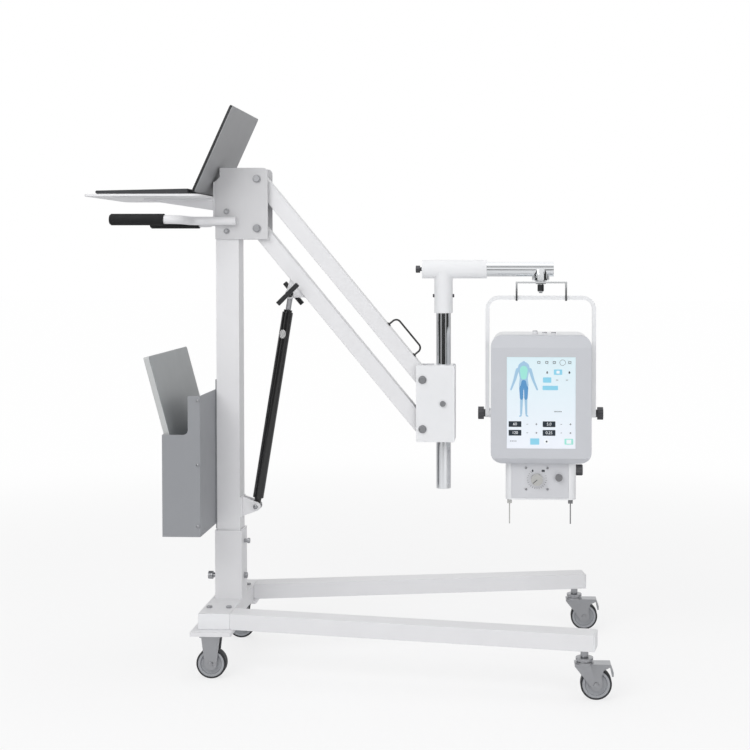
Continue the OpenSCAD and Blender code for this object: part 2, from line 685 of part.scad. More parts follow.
// Head
module head_front_shape() intersection() {
    slab_y(front_y, bezel_y) round_rect(head_x0, head_z0, head_x1, head_z1, 30);
    slab_x(head_x0 - 1, head_x1 + 1) polygon([[bezel_y, head_z0], [front_y + 14, head_z0],
        [front_y, head_z0 + 15], [front_y, head_z1 - 32], [front_y + 8, head_z1 - 3],
        [front_y + 14, head_z1], [bezel_y, head_z1]]);
}
module head_front() color("lightsteelblue") difference() {
    head_front_shape();
    block([yoke_x - screen_x, front_y - 1, screen_z0], [yoke_x + screen_x, front_y + 3, screen_z1]);
}
module screen() color("aliceblue")
    block([yoke_x - screen_x, front_y + 0.8, screen_z0], [yoke_x + screen_x, front_y + 3, screen_z1]);
module head_rear() color("whitesmoke") difference() {
    union() {
        slab_y(bezel_y, -front_y - 12) round_rect(head_x0 + 1.5, head_z0 + 1.5, head_x1 - 1.5, head_z1 - 1.5, 29);
        slab_y(-front_y - 12, -front_y) round_rect(head_x0 + 12, head_z0 + 12, head_x1 - 12, head_z1 - 12, 24);
        for (s = [-1, 1]) bar_x(s > 0 ? head_x1 - 2 : bail_x0 + bail_t + gap,
            s > 0 ? bail_x1 - bail_t - gap : head_x0 + 2, 0, tilt_z, 24);
        bar_z(head_z1 - 3, head_z1 + 6, yoke_x - 15, -20, 14);
        for (x = [10, 33]) bar_z(head_z1 - 3, head_z1 + 2, yoke_x + x, -20, 12);
    }
    bar_x(bail_x0, head_x0 + 12, 0, tilt_z, 6 + 2 * run);
    bar_x(head_x1 - 12, bail_x1, 0, tilt_z, 6 + 2 * run);
}
module collimator() color("white") {
    difference() {
        translate([0, 0, colli_z0]) linear_extrude(head_z0 + 1.5 - colli_z0)
            round_rect(yoke_x - colli_w / 2, -colli_y, yoke_x + colli_w / 2, colli_y, 18);
        block([yoke_x - 76, -colli_y - 1, colli_z0 + 4], [yoke_x + 71, -colli_y + 2, head_z0 - 3]);
        block([yoke_x - 45, -45, colli_z0 - 1], [yoke_x + 45, 45, colli_z0 + 4]);
        block([yoke_x - colli_w, -200, head_z0], [yoke_x + colli_w, bezel_y, head_z0 + 3]);
    }
}
module collimator_knobs() color("gray") {
    for (k = [[yoke_x - 10, knob_z, 30, 16], [yoke_x + 46, knob_z + 5, 18, 12]])
        bar_y(-colli_y + 2 - k[3], -colli_y + 2, k[0], k[1], k[2]);
    bar_x(yoke_x + colli_w / 2, yoke_x + colli_w / 2 + 20, 0, knob_z + 13, 27);
    // Knuckles and distance prongs
    for (k = [[yoke_x - 80, -58], [yoke_x + 76, -58]]) {
        block([k[0] - 6, k[1] - 6, colli_z0 - 11], [k[0] + 6, k[1] + 6, colli_z0]);
        bar_z(colli_z0 - 64, colli_z0 - 5, k[0], k[1], 3);
    }
}

cross_beam();
leg_left();
leg_right();
tube_caps();
socket();
base_bolts();
rear_plates();
rear_forks();
rear_axles();
caster_stems();
column();
arm_bracket();
bracket_bolts();
pivot_spacers();
handle_left();
handle_right();
handle_grips();
tray();
tray_support();
laptop_base();
detector_pocket();
pocket_strip();
strut_foot();
rear_tyre_left();
rear_hub_left();
rear_tyre_right();
rear_hub_right();
caster_left();
caster_axle_left();
front_tyre_left();
front_hub_left();
caster_right();
caster_axle_right();
front_tyre_right();
front_hub_right();
upper_arm();
bow_handle();
lower_arm();
strut_pins();
end_bracket();
end_bolts();
strut_cylinder();
strut_rod();
post();
tee();
tee_screws();
boom();
hang_bracket();
bail();
tilt_knobs();
head_front();
head_rear();
screen();
collimator();
collimator_knobs();
laptop_lid();
detector();
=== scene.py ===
"""Looks of the portable x-ray machine: finishes, touch screen picture, screws, keys, ribs, lights and camera."""

import json
import logging
import math
from dataclasses import dataclass, field
from enum import Enum
from typing import Any, ClassVar, Sequence

import bmesh
import bpy
from mathutils import Matrix, Vector

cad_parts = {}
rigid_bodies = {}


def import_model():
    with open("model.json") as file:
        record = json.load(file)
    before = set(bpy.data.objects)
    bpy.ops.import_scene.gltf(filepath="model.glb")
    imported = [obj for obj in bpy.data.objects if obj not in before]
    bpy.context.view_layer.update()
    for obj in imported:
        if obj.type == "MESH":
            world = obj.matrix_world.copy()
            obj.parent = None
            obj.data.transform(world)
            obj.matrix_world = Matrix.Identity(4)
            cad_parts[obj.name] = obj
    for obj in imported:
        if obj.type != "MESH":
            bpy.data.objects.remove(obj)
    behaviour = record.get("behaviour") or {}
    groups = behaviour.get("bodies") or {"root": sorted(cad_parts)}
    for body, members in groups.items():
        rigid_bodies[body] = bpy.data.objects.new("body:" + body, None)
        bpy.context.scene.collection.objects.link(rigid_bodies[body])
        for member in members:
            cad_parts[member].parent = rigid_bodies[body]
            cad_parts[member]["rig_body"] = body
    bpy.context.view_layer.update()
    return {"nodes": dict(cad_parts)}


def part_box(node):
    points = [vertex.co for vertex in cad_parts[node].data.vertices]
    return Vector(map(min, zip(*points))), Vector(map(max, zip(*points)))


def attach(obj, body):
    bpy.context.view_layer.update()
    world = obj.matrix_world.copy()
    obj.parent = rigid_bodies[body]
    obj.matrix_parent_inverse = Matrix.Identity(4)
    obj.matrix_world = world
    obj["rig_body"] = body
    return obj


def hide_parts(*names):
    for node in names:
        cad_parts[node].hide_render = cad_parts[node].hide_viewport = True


LOG = logging.getLogger("xray_machine")
MM = 0.001

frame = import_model()


class Facing(Enum):
    """Which way the flat side of a small piece looks."""

    FRONT = "front"
    BACK = "back"
    RIGHT = "right"

    def rotation(self) -> Matrix:
        """Returns the turn that brings +Z to this direction."""
        turns = {
            Facing.FRONT: Matrix.Rotation(math.pi / 2, 4, "X"),
            Facing.BACK: Matrix.Rotation(-math.pi / 2, 4, "X"),
            Facing.RIGHT: Matrix.Rotation(math.pi / 2, 4, "Y"),
        }
        return turns[self]


class Wire:
    """One node socket, with operators that add Math nodes."""

    def __init__(self, graph: "Graph", socket: Any) -> None:
        """Args: graph: the owner. socket: the output socket."""
        self.graph = graph
        self.socket = socket

    def _math(self, operation: str, *values: Any) -> "Wire":
        """Args: operation: the Math node's operation. values: numbers or wires. Returns: the result."""
        inputs = {i: v for i, v in enumerate(values)}
        return self.graph.add("ShaderNodeMath", {"operation": operation}, inputs)

    def __add__(self, other: Any) -> "Wire":
        """Returns the sum."""
        return self._math("ADD", self, other)

    def __radd__(self, other: Any) -> "Wire":
        """Returns the sum."""
        return self._math("ADD", other, self)

    def __sub__(self, other: Any) -> "Wire":
        """Returns the difference."""
        return self._math("SUBTRACT", self, other)

    def __mul__(self, other: Any) -> "Wire":
        """Returns the product."""
        return self._math("MULTIPLY", self, other)

    def __gt__(self, other: Any) -> "Wire":
        """Returns 1 where this is the greater."""
        return self._math("GREATER_THAN", self, other)


@dataclass
class Graph:
    """A node tree under construction."""

    tree: Any

    def add(self, kind: str, settings: dict[str, Any] | None = None, inputs: dict[Any, Any] | None = None,
            output: Any = 0) -> Wire:
        """Adds a node.

        Args:
            kind: the node's type name.
            settings: its properties, set first.
            inputs: its sockets' values or wires, by name or number.
            output: which output is wanted, by name or number.

        Returns:
            The chosen output.
        """
        node = self.tree.nodes.new(kind)
        for name, value in (settings or {}).items():
            setattr(node, name, value)
        for name, value in (inputs or {}).items():
            socket = node.inputs[name]
            if isinstance(value, Wire):
                self.tree.links.new(value.socket, socket)
            else:
                socket.default_value = value
        return Wire(self, node.outputs[output])

    def place(self) -> tuple[Wire, Wire, Wire]:
        """Returns the object coordinates as three numbers."""
        spot = self.add("ShaderNodeTexCoord", output="Object")
        parts = self.add("ShaderNodeSeparateXYZ", {}, {0: spot})
        node = parts.socket.node
        return Wire(self, node.outputs[0]), Wire(self, node.outputs[1]), Wire(self, node.outputs[2])

    def noise(self, scale: float, detail: float = 2.0) -> Wire:
        """Args: scale: cells per metre. detail: octaves. Returns: a noise from 0 to 1."""
        spot = self.add("ShaderNodeTexCoord", output="Object")
        return self.add("ShaderNodeTexNoise", {}, {"Vector": spot, "Scale": scale, "Detail": detail}, "Fac")

    def blend(self, factor: Any, a: Any, b: Any) -> Wire:
        """Args: factor: 0 to 1. a, b: colours. Returns: the mixed colour."""
        return self.add("ShaderNodeMix", {"data_type": "RGBA"}, {0: factor, 6: a, 7: b}, 2)


def shade(r: float, g: float, b: float) -> tuple[float, float, float, float]:
    """Args: r, g, b: a colour as seen on a screen, from 0 to 255. Returns: the linear colour."""
    def linear(v: float) -> float:
        """Returns one channel made linear."""
        v /= 255
        return v / 12.92 if v <= 0.04045 else ((v + 0.055) / 1.055) ** 2.4
    return linear(r), linear(g), linear(b), 1.0


@dataclass(frozen=True)
class Finish:
    """A finish that is one colour with a fine grain and slight wear."""

    name: str
    colour: tuple[float, float, float, float]
    roughness: float = 0.4
    metallic: float = 0.0
    coat: float = 0.0
    grain: float = 700.0
    bump: float = 0.04
    mottle: float = 0.03
    glow: float = 0.0
    slot: str | None = None
    made: ClassVar[dict[str, Any]] = {}

    def tint(self, graph: Graph) -> Wire:
        """Args: graph: the material's tree. Returns: the base colour."""
        darker = tuple(c * (1 - 2 * self.mottle) for c in self.colour[:3]) + (1.0,)
        return graph.blend(graph.noise(14.0, 3.0), self.colour, darker)

    def material(self) -> Any:
        """Returns the material, built once."""
        if self.name in Finish.made:
            return Finish.made[self.name]
        made = bpy.data.materials.new(self.name)
        made.use_nodes = True
        graph = Graph(made.node_tree)
        shader = made.node_tree.nodes["Principled BSDF"]
        shader.inputs["Metallic"].default_value = self.metallic
        shader.inputs["Coat Weight"].default_value = self.coat
        colour = self.tint(graph)
        made.node_tree.links.new(colour.socket, shader.inputs["Base Color"])
        rough = self.roughness + (graph.noise(30.0, 2.0) - 0.5) * (0.25 * self.roughness)
        made.node_tree.links.new(rough.socket, shader.inputs["Roughness"])
        bump = graph.add("ShaderNodeBump", {}, {"Strength": self.bump, "Distance": 0.0004,
                                                "Height": graph.noise(self.grain, 1.0)})
        made.node_tree.links.new(bump.socket, shader.inputs["Normal"])
        if self.glow:
            made.node_tree.links.new(colour.socket, shader.inputs["Emission Color"])
            shader.inputs["Emission Strength"].default_value = self.glow
        Finish.made[self.name] = made
        return made


@dataclass(frozen=True)
class SkinFinish(Finish):
    """A finish whose colour changes past a plane, as on a lid with a metal back."""

    other: tuple[float, float, float, float] = (0.02, 0.02, 0.02, 1.0)
    point: tuple[float, float, float] = (0.0, 0.0, 0.0)
    normal: tuple[float, float, float] = (1.0, 0.0, 0.0)

    def tint(self, graph: Graph) -> Wire:
        """Args: graph: the material's tree. Returns: the base colour."""
        x, y, z = graph.place()
        depth = x * self.normal[0] + y * self.normal[1] + z * self.normal[2]
        limit = sum(p * n for p, n in zip(self.point, self.normal))
        return graph.blend(depth > limit, self.other, self.colour)


@dataclass(frozen=True)
class ScreenFinish(Finish):
    """The lit touch panel, a pale blue-white that changes a little from its foot to its top."""

    low: float = 0.57
    high: float = 0.802

    def tint(self, graph: Graph) -> Wire:
        """Args: graph: the material's tree. Returns: the base colour."""
        _, _, z = graph.place()
        rise = (z - self.low) * (1 / (self.high - self.low))
        return graph.blend(rise, shade(238, 242, 250), shade(219, 238, 244))


WHITE_PAINT = Finish("white_powder_coat", shade(234, 234, 236), 0.42, grain=900, bump=0.012, slot="white_paint")
GREY_PAINT = Finish("pale_grey_powder_coat", shade(213, 213, 215), 0.42, grain=900, bump=0.012, slot="grey_paint")
WHITE_PLASTIC = Finish("white_moulded_plastic", shade(240, 241, 243), 0.34, grain=1800, bump=0.02, slot="white_plastic")
HEAD_SHELL = Finish("white_head_shell", shade(232, 233, 235), 0.34, grain=1800, bump=0.02, slot="white_plastic")
BEZEL = Finish("blue_grey_bezel", shade(205, 207, 212), 0.36, grain=1800, bump=0.02, slot="head_grey")
STEEL = Finish("zinc_plated_steel", shade(172, 173, 176), 0.32, 0.9, grain=300, bump=0.05, mottle=0.05, slot="steel")
DARK_STEEL = Finish("dark_steel", shade(84, 84, 87), 0.35, 0.8, grain=300, bump=0.05, mottle=0.05, slot="black_plastic")
CHROME = Finish("polished_chrome", shade(226, 228, 230), 0.07, 1.0, grain=200, bump=0.0, mottle=0.0, slot="chrome_tube")
BLACK_PLASTIC = Finish("black_moulded_plastic", shade(30, 31, 33), 0.42, grain=900, bump=0.12, slot="black_plastic")
BLACK_RUBBER = Finish("black_grip_foam", shade(12, 13, 15), 0.8, grain=1500, bump=0.2, slot="black_plastic")
BLACK_ENAMEL = Finish("black_enamel", shade(18, 18, 19), 0.22, coat=0.3, grain=500, bump=0.01, slot="black_paint")
POCKET = Finish("grey_sheet_paint", shade(150, 152, 156), 0.45, grain=1500, bump=0.06, slot="pocket_grey")
TYRE = Finish("dark_tyre_rubber", shade(42, 43, 46), 0.6, grain=1200, bump=0.15, slot="tyre_rubber")
HUB = Finish("grey_wheel_nylon", shade(164, 166, 170), 0.45, grain=1200, bump=0.05, slot="hub_grey")
PLATE_GREY = Finish("grey_control_plate", shade(214, 215, 219), 0.4, grain=1500, bump=0.03)
MARK = Finish("dark_printed_mark", shade(70, 72, 78), 0.5)
LABEL = Finish("white_oval_label", shade(232, 232, 232), 0.4)
LAPTOP_DARK = Finish("dark_laptop_case", shade(44, 45, 49), 0.4, grain=1500, bump=0.05, slot="laptop_dark")
KEY_BLACK = Finish("black_laptop_keys", shade(24, 25, 27), 0.5)
DARK_GLASS = Finish("dark_display_glass", shade(16, 18, 22), 0.12)
SCREEN = ScreenFinish("lit_touch_screen", shade(228, 240, 247), 0.25, coat=0.2, glow=0.09, bump=0.0,
                      slot="screen_glass")
UI_CYAN = Finish("screen_cyan", shade(140, 208, 232), 0.3, glow=0.08, bump=0.0, mottle=0.0)
UI_MINT = Finish("screen_mint", shade(158, 226, 214), 0.3, glow=0.08, bump=0.0, mottle=0.0)
UI_BLUE = Finish("screen_blue", shade(92, 150, 200), 0.3, glow=0.06, bump=0.0, mottle=0.0)
UI_SKY = Finish("screen_sky", shade(160, 196, 222), 0.3, glow=0.08, bump=0.0, mottle=0.0)
UI_DARK = Finish("screen_number_box", shade(33, 44, 54), 0.3, bump=0.0, mottle=0.0)
UI_WHITE = Finish("screen_white", shade(240, 244, 248), 0.3, glow=0.08, bump=0.0, mottle=0.0)


def new_piece(name: str, bm: Any, finish: Finish, body: str,
              smooth: bool = False) -> Any:
    """Makes an object from a mesh under construction and lets it ride on a body.

    Args:
        name: the piece's name.
        bm: the bmesh, in metres in the machine's frame.
        finish: what it is painted with.
        body: the body it moves with.
        smooth: whether its faces are shaded smooth.

    Returns:
        The object.
    """
    bmesh.ops.recalc_face_normals(bm, faces=bm.faces)
    mesh = bpy.data.meshes.new(name)
    bm.to_mesh(mesh)
    bm.free()
    return keep_mesh(name, mesh, finish, body, smooth)


def keep_mesh(name: str, mesh: Any, finish: Finish, body: str, smooth: bool) -> Any:
    """Links a finished mesh as a piece of the machine.

    Args:
        name: the piece's name.
        mesh: its mesh.
        finish: its finish.
        body: the body it moves with.
        smooth: whether its faces are shaded smooth.

    Returns:
        The object.
    """
    for face in mesh.polygons:
        face.use_smooth = smooth
    mesh.materials.clear()
    mesh.materials.append(finish.material())
    piece = bpy.data.objects.new(name, mesh)
    bpy.context.scene.collection.objects.link(piece)
    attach(piece, body)
    LOG.info("piece %s on %s", name, body)
    return piece


def add_prism(bm: Any, outline: Sequence[tuple[float, float]], depth: float, place: Matrix) -> None:
    """Adds a flat outline with thickness.

    Args:
        bm: the bmesh it goes into.
        outline: points in the piece's own plane, in metres.
        depth: thickness along the plane's normal.
        place: where the plane lies.
    """
    low = [bm.verts.new(place @ Vector((x, y, 0))) for x, y in outline]
    high = [bm.verts.new(place @ Vector((x, y, depth))) for x, y in outline]
    bm.faces.new(low[::-1])
    bm.faces.new(high)
    count = len(outline)
    for i in range(count):
        j = (i + 1) % count
        bm.faces.new((low[i], low[j], high[j], high[i]))


def rounded(w: float, h: float, r: float, x: float = 0.0, y: float = 0.0, steps: int = 5) -> list[tuple[float, float]]:
    """Args: w, h: size. r: corner radius. x, y: centre. steps: points a corner. Returns: the outline."""
    points = []
    for k, (sx, sy) in enumerate(((1, 1), (-1, 1), (-1, -1), (1, -1))):
        for i in range(steps + 1):
            a = math.pi / 2 * (k + i / steps)
            points.append((x + sx * (w / 2 - r) + r * math.cos(a), y + sy * (h / 2 - r) + r * math.sin(a)))
    return points


def disc(r: float, x: float = 0.0, y: float = 0.0, stretch: float = 1.0, steps: int = 24) -> list[tuple[float, float]]:
    """Args: r: radius. x, y: centre. stretch: height over width. steps: points. Returns: the outline."""
    turn = 2 * math.pi / steps
    return [(x + r * math.cos(turn * i), y + r * stretch * math.sin(turn * i)) for i in range(steps)]


def limb(a: tuple[float, float], b: tuple[float, float], ra: float, rb: float) -> list[tuple[float, float]]:
    """Args: a, b: the ends. ra, rb: half widths there. Returns: a tapered outline with round ends."""
    along = math.atan2(b[1] - a[1], b[0] - a[0])
    points = []
    for centre, r, start in ((b, rb, along - math.pi / 2), (a, ra, along + math.pi / 2)):
        for i in range(7):
            t = start + math.pi * i / 6
            points.append((centre[0] + r * math.cos(t), centre[1] + r * math.sin(t)))
    return points


@dataclass
class Repeater:
    """A Geometry Nodes tree that sets a small block or a round head on every point of a pattern."""

    name: str
    finish: Finish
    group: Any = field(init=False)
    ids: dict[str, str] = field(init=False, default_factory=dict)

    def __post_init__(self) -> None:
        """Starts the tree and its named inputs."""
        self.group = bpy.data.node_groups.new(self.name, "GeometryNodeTree")
        self.group.interface.new_socket(name="Geometry", in_out="INPUT", socket_type="NodeSocketGeometry")
        self.group.interface.new_socket(name="Geometry", in_out="OUTPUT", socket_type="NodeSocketGeometry")

    def inlet(self, name: str, kind: str) -> None:
        """Args: name: the input's name. kind: its socket type."""
        item = self.group.interface.new_socket(name=name, in_out="INPUT", socket_type=kind)
        self.ids[name] = item.identifier

    def close(self, graph: Graph, shape: Wire) -> None:
        """Args: graph: the tree. shape: the instances that become the piece."""
        solid = graph.add("GeometryNodeRealizeInstances", {}, {0: shape})
        dressed = graph.add("GeometryNodeSetMaterial", {}, {0: solid, "Material": self.finish.material()})
        out = self.group.nodes.new("NodeGroupOutput")
        self.group.links.new(dressed.socket, out.inputs[0])

    def run(self, name: str, base: Any, values: dict[str, Any], place: Matrix, body: str,
            slot: str | None = None, smooth: bool = False) -> Any:
        """Runs the tree and keeps the result as a plain mesh.

        Args:
            name: the piece's name.
            base: the mesh whose points are used.
            values: the named inputs.
            place: where the pattern's own plane lies.
            body: the body it moves with.
            slot: the record's material slot, if any; not used.
            smooth: whether its faces are shaded smooth.

        Returns:
            The object.
        """
        carrier = bpy.data.objects.new(name + "_pattern", base)
        bpy.context.scene.collection.objects.link(carrier)
        modifier = carrier.modifiers.new("repeat", "NODES")
        modifier.node_group = self.group
        for key, value in values.items():
            modifier[self.ids[key]] = value
        bpy.context.view_layer.update()
        depsgraph = bpy.context.evaluated_depsgraph_get()
        mesh = bpy.data.meshes.new_from_object(carrier.evaluated_get(depsgraph))
        mesh.transform(place)
        carrier.modifiers.remove(modifier)
        bpy.data.objects.remove(carrier)
        return keep_mesh(name, mesh, self.finish, body, smooth)


def head_repeater(name: str, finish: Finish) -> Repeater:
    """Args: name: the tree's name. finish: its finish. Returns: a tree that sets round heads on points."""
    made = Repeater(name, finish)
    made.inlet("Head Radius", "NodeSocketFloat")
    made.inlet("Head Height", "NodeSocketFloat")
    graph = Graph(made.group)
    source = made.group.nodes.new("NodeGroupInput")
    inlet = {s.name: Wire(graph, s) for s in source.outputs}
    head = graph.add("GeometryNodeMeshCylinder", {}, {
        "Vertices": 16, "Radius": inlet["Head Radius"], "Depth": inlet["Head Height"]})
    made.close(graph, graph.add("GeometryNodeInstanceOnPoints", {}, {"Points": inlet["Geometry"], "Instance": head}))
    return made


def block_repeater(name: str, finish: Finish) -> Repeater:
    """Args: name: the tree's name. finish: its finish. Returns: a tree that sets blocks on points, turned outwards."""
    made = Repeater(name, finish)
    made.inlet("Block Size", "NodeSocketVector")
    made.inlet("Turn Outwards", "NodeSocketFloat")
    graph = Graph(made.group)
    source = made.group.nodes.new("NodeGroupInput")
    inlet = {s.name: Wire(graph, s) for s in source.outputs}
    block = graph.add("GeometryNodeMeshCube", {}, {"Size": inlet["Block Size"]})
    spot = graph.add("GeometryNodeInputPosition")
    turned = graph.add("FunctionNodeAlignRotationToVector", {"axis": "X", "pivot_axis": "Z"},
                       {"Vector": spot, "Factor": inlet["Turn Outwards"]})
    made.close(graph, graph.add("GeometryNodeInstanceOnPoints", {}, {
        "Points": inlet["Geometry"], "Instance": block, "Rotation": turned}))
    return made


def points_mesh(points: Sequence[tuple[float, float, float]]) -> Any:
    """Args: points: places. Returns: a mesh of loose points."""
    mesh = bpy.data.meshes.new("points")
    mesh.from_pydata([tuple(p) for p in points], [], [])
    return mesh


@dataclass
class StandDress:
    """Finishes and small pieces of the wheeled stand, its arm and its post."""

    heads: Repeater
    pocket_x: float = -0.3675
    pocket_half: float = 0.2
    pocket_rows: tuple[float, ...] = (0.383, 0.537, 0.697)
    strut_foot: tuple[float, float, float] = (-0.259, 0.0, 0.4)
    strut_lean: float = 9.3
    strut_skin: float = 0.01425
    foot_pin_half: float = 0.0201
    label_up: float = 0.459
    label_half: float = 0.012
    bar_half: float = 0.045
    bar_pitch: float = 0.0042
    finishes: dict[str, Finish] = field(default_factory=lambda: {
        "cross_beam": WHITE_PAINT, "leg_left": WHITE_PAINT, "leg_right": WHITE_PAINT,
        "tube_caps": WHITE_PLASTIC, "socket": WHITE_PAINT, "base_bolts": STEEL, "rear_plates": WHITE_PAINT,
        "rear_forks": STEEL, "rear_axles": STEEL, "caster_stems": STEEL, "column": WHITE_PAINT,
        "arm_bracket": GREY_PAINT, "bracket_bolts": STEEL, "pivot_spacers": STEEL,
        "handle_left": WHITE_PAINT, "handle_right": WHITE_PAINT, "handle_grips": BLACK_RUBBER,
        "tray": WHITE_PAINT, "tray_support": WHITE_PAINT, "detector_pocket": POCKET, "pocket_strip": POCKET,
        "strut_foot": WHITE_PAINT, "rear_tyre_left": TYRE, "rear_hub_left": HUB, "rear_tyre_right": TYRE,
        "rear_hub_right": HUB, "caster_left": STEEL, "caster_axle_left": STEEL, "front_tyre_left": TYRE,
        "front_hub_left": HUB, "caster_right": STEEL, "caster_axle_right": STEEL, "front_tyre_right": TYRE,
        "front_hub_right": HUB, "upper_arm": WHITE_PAINT, "bow_handle": BLACK_ENAMEL, "lower_arm": WHITE_PAINT,
        "strut_pins": BLACK_PLASTIC, "end_bracket": WHITE_PLASTIC, "end_bolts": STEEL,
        "strut_cylinder": BLACK_ENAMEL, "strut_rod": STEEL, "post": CHROME, "tee": WHITE_PLASTIC,
        "tee_screws": DARK_STEEL, "boom": CHROME})

    def dress(self) -> None:
        """Paints the nodes and adds the pocket's screws, the strut's pin heads and label, and the T-bars' ribs."""
        paint(self.finishes)
        for side, facing in ((-1, Facing.FRONT), (1, Facing.BACK)):
            spots = [(self.pocket_x, side * self.pocket_half, z) for z in self.pocket_rows]
            turn = facing.rotation()
            base = points_mesh([turn.inverted() @ Vector(p) for p in spots])
            self.heads.run("pocket_screws_" + ("right" if side < 0 else "left"), base,
                           {"Head Radius": 0.0038, "Head Height": 0.003}, turn, "stand", "steel", True)
        x, _, z = self.strut_foot
        for name, side, flip in (("right", -1, Facing.FRONT), ("left", 1, Facing.BACK)):
            turn = flip.rotation()
            spot = turn.inverted() @ Vector((x, side * self.foot_pin_half, z))
            self.heads.run("strut_pin_head_" + name, points_mesh([spot]),
                           {"Head Radius": 0.0062, "Head Height": 0.0026}, turn, "stand", "steel", True)
        self.label()
        self.bar_ribs()

    def bar_ribs(self) -> None:
        """Cuts the look of ribs into the T-bars by thin raised bands."""
        ribs = block_repeater("bar_ribs", BLACK_PLASTIC)
        low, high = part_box("strut_pins")
        middle = Vector(((low.x + high.x) / 2, 0, (low.z + high.z) / 2))
        for name, side, angle in (("right", -1, 44.6), ("left", 1, -50.4)):
            spots = [(self.bar_pitch * i, 0.0, 0.0) for i in range(-8, 9) if abs(i) > 1]
            turn = Matrix.Rotation(-math.radians(angle), 4, "Y")
            place = Matrix.Translation((middle.x, side * self.bar_half, middle.z)) @ turn
            ribs.run("bar_ribs_" + name, points_mesh(spots),
                     {"Block Size": (0.0017, 0.0106, 0.0118), "Turn Outwards": 0.0}, place, "lower_arm",
                     "black_plastic")

    def label(self) -> None:
        """Adds the blank oval label on the strut's cylinder."""
        steps = 12
        angle = math.radians(self.strut_lean)
        axis = Vector((math.sin(angle), 0, math.cos(angle)))
        foot = Vector(self.strut_foot)
        side = Vector((math.cos(angle), 0, -math.sin(angle)))
        bm = bmesh.new()
        grid = []
        for i in range(steps + 1):
            row = []
            v = -1 + 2 * i / steps
            half = math.sqrt(max(0.0, 1 - v * v)) * 0.62 + 0.02
            for j in range(steps + 1):
                t = math.radians(-100) + half * (-1 + 2 * j / steps)
                out = side * math.cos(t) + Vector((0, 1, 0)) * math.sin(t)
                row.append(bm.verts.new(foot + axis * (self.label_up + self.label_half * v) + out * self.strut_skin))
            grid.append(row)
        for i in range(steps):
            for j in range(steps):
                bm.faces.new((grid[i][j], grid[i][j + 1], grid[i + 1][j + 1], grid[i + 1][j]))
        bmesh.ops.solidify(bm, geom=bm.faces[:], thickness=-0.0002)
        new_piece("strut_label", bm, LABEL, "strut_cylinder", True)


@dataclass(frozen=True)
class Softener:
    """Makes a clean copy of a CAD node, with small round edges, and shows it in the node's stead."""

    width: float = 0.0009
    corner: float = math.radians(28)
    widths: ClassVar[dict[str, float]] = {
        "head_front": 0.005, "head_rear": 0.004, "tray": 0.0012, "collimator": 0.002, "bail": 0.002,
        "detector_pocket": 0.0005, "pocket_strip": 0.0005, "screen": 0.0004, "leg_left": 0.003, "leg_right": 0.003,
        "cross_beam": 0.003, "column": 0.004, "upper_arm": 0.003, "lower_arm": 0.003, "detector": 0.0015,
        "laptop_base": 0.0012, "laptop_lid": 0.001, "handle_left": 0.0004, "handle_right": 0.0004,
        "arm_bracket": 0.0012, "end_bracket": 0.0012, "base_bolts": 0.0004, "strut_pins": 0.0015}

    def copy(self, node: str, finish: Finish) -> Any:
        """Args: node: the CAD node. finish: its finish. Returns: the copy that is shown."""
        source = frame["nodes"][node]
        bm = bmesh.new()
        bm.from_mesh(source.data)
        bmesh.ops.remove_doubles(bm, verts=bm.verts, dist=2e-6)
        bmesh.ops.dissolve_limit(bm, angle_limit=math.radians(0.6), verts=bm.verts, edges=bm.edges)
        mesh = bpy.data.meshes.new(node + "_shown")
        bm.to_mesh(mesh)
        bm.free()
        holder = bpy.data.objects.new(node + "_soft", mesh)
        bpy.context.scene.collection.objects.link(holder)
        bevel = holder.modifiers.new("edges", "BEVEL")
        bevel.width = self.widths.get(node, self.width)
        bevel.segments = 2
        bevel.limit_method = "ANGLE"
        bevel.angle_limit = self.corner
        bevel.use_clamp_overlap = True
        bevel.harden_normals = True
        for face in mesh.polygons:
            face.use_smooth = True
        mesh.set_sharp_from_angle(angle=math.radians(34))
        bpy.context.view_layer.update()
        depsgraph = bpy.context.evaluated_depsgraph_get()
        shown = bpy.data.meshes.new_from_object(holder.evaluated_get(depsgraph))
        bpy.data.objects.remove(holder)
        shown.materials.clear()
        shown.materials.append(finish.material())
        piece = bpy.data.objects.new(node + "_shown", shown)
        bpy.context.scene.collection.objects.link(piece)
        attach(piece, source["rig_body"])
        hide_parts(node)
        LOG.info("node %s is %s, %d faces", node, finish.name, len(shown.polygons))
        return piece


def paint(finishes: dict[str, Finish]) -> None:
    """Args: finishes: the finish of each node by name."""
    for node, finish in finishes.items():
        Softener().copy(node, finish)


